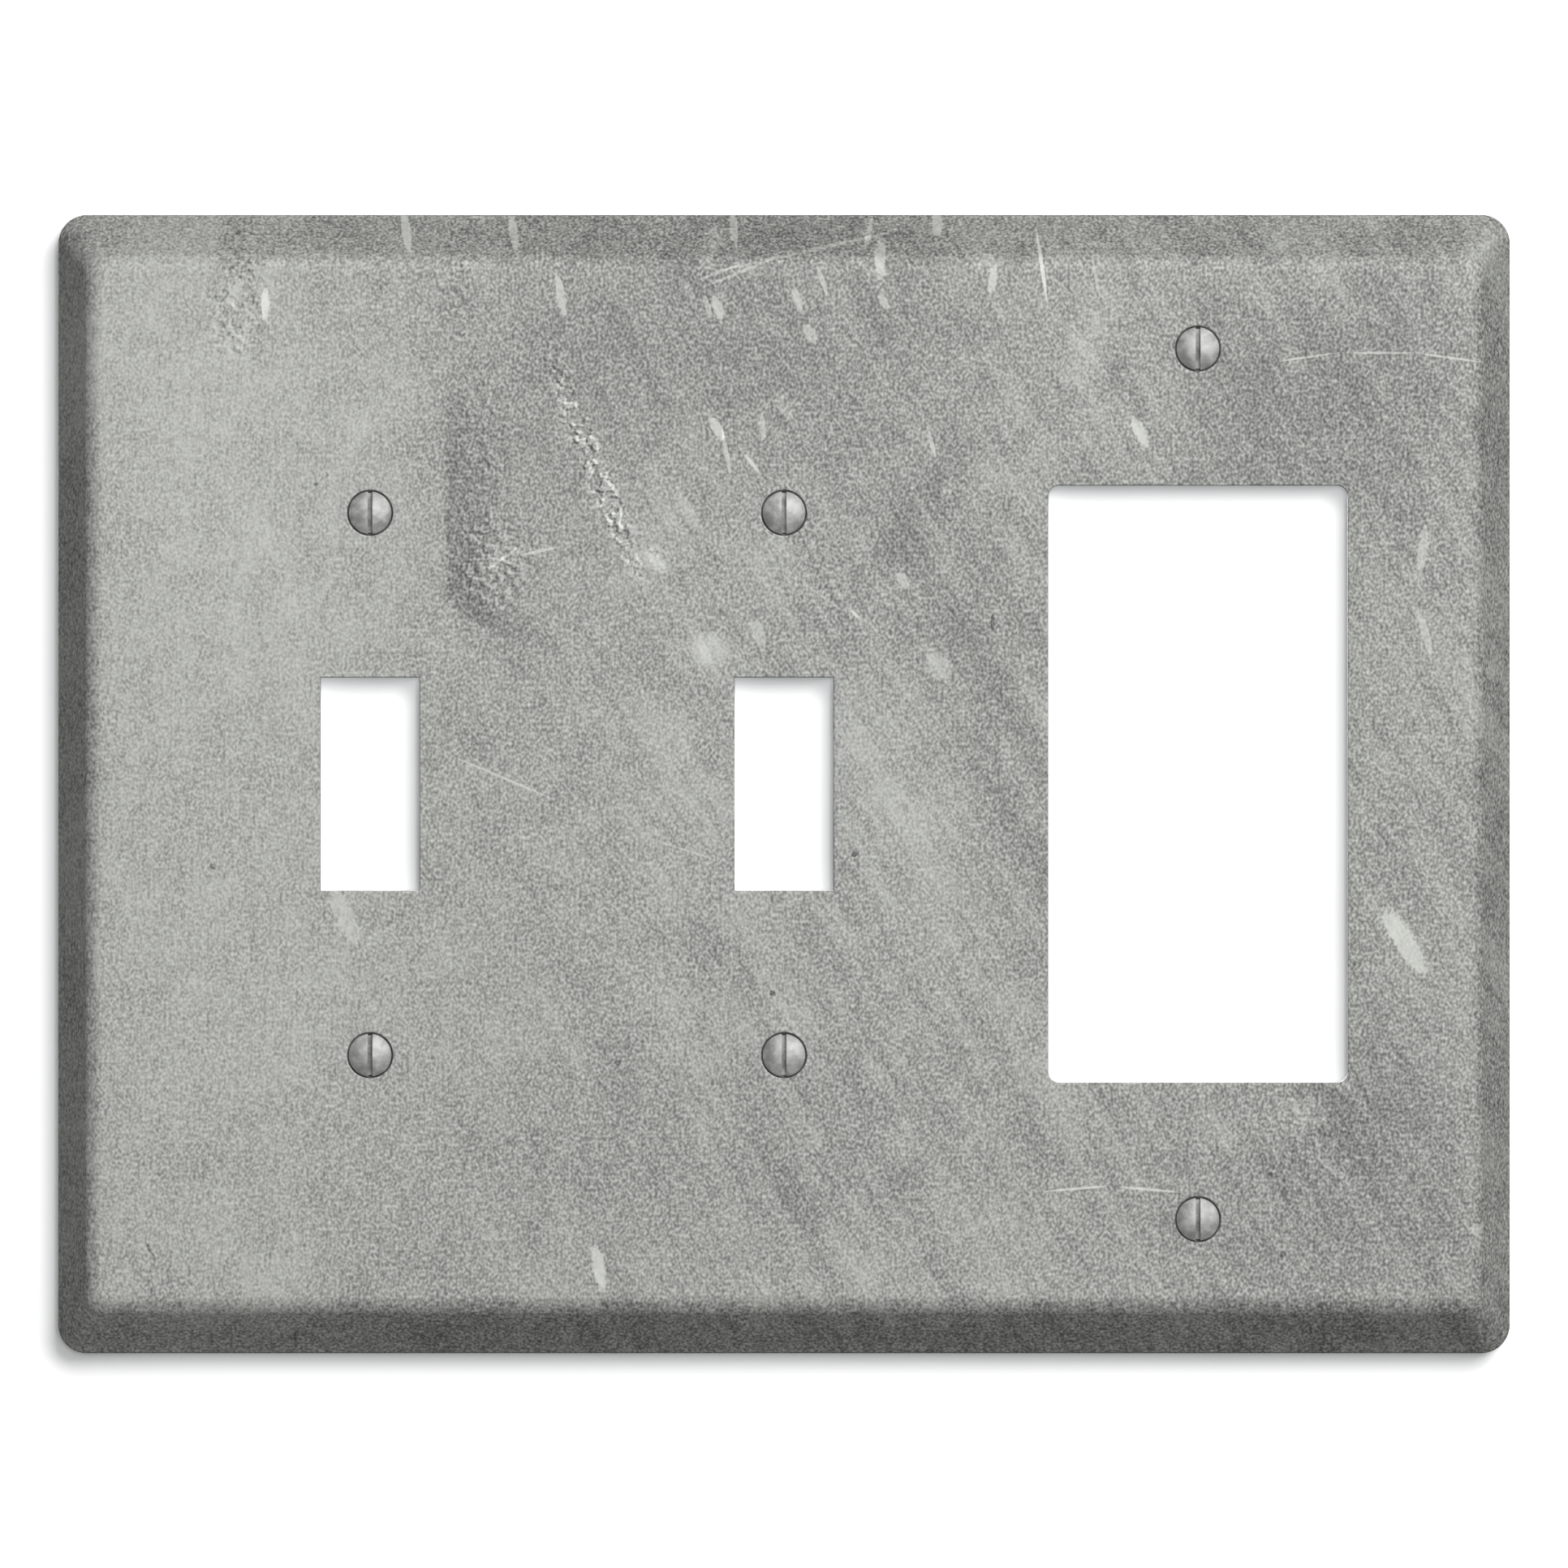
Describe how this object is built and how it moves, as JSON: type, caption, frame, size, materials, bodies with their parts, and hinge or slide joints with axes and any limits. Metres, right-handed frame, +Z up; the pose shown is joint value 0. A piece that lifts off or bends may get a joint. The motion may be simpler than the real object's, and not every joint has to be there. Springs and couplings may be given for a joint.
{
  "type": "switch wall plate",
  "caption": "Pressed-steel switch wall plate with toggle openings and a rocker opening side by side, sloping edges, and slotted oval-head screws in countersunk holes.",
  "frame": {"origin": "the middle of the rim's outline, on the plane of the wall that holds the part up", "axes": "+X across the gangs towards the rocker opening, +Y into the wall, +Z up; the face looks along -Y"},
  "size_m": [0.162, 0.0136, 0.127],
  "materials": {
    "printed_steel": "satin print of worn grey concrete",
    "plated_steel": "satin plated"
  },
  "bodies": {
    "plate": {"wall_plate": "printed_steel"},
    "screw_toggle_left_top": {"screw_toggle_left_top": "plated_steel"},
    "screw_toggle_left_bottom": {"screw_toggle_left_bottom": "plated_steel"},
    "screw_toggle_middle_top": {"screw_toggle_middle_top": "plated_steel"},
    "screw_toggle_middle_bottom": {"screw_toggle_middle_bottom": "plated_steel"},
    "screw_rocker_top": {"screw_rocker_top": "plated_steel"},
    "screw_rocker_bottom": {"screw_rocker_bottom": "plated_steel"}
  },
  "joints": [
    {"name": "screw_toggle_left_top_turn", "type": "hinge", "parent": "plate", "child": "screw_toggle_left_top", "pos_m": [-0.04604, -0.00635, 0.03016], "axis": [0, 1, 0], "continuous": true},
    {"name": "screw_toggle_left_bottom_turn", "type": "hinge", "parent": "plate", "child": "screw_toggle_left_bottom", "pos_m": [-0.04604, -0.00635, -0.03016], "axis": [0, 1, 0], "continuous": true},
    {"name": "screw_toggle_middle_top_turn", "type": "hinge", "parent": "plate", "child": "screw_toggle_middle_top", "pos_m": [0, -0.00635, 0.03016], "axis": [0, 1, 0], "continuous": true},
    {"name": "screw_toggle_middle_bottom_turn", "type": "hinge", "parent": "plate", "child": "screw_toggle_middle_bottom", "pos_m": [0, -0.00635, -0.03016], "axis": [0, 1, 0], "continuous": true},
    {"name": "screw_rocker_top_turn", "type": "hinge", "parent": "plate", "child": "screw_rocker_top", "pos_m": [0.04604, -0.00635, 0.04842], "axis": [0, 1, 0], "continuous": true},
    {"name": "screw_rocker_bottom_turn", "type": "hinge", "parent": "plate", "child": "screw_rocker_bottom", "pos_m": [0.04604, -0.00635, -0.04842], "axis": [0, 1, 0], "continuous": true}
  ]
}
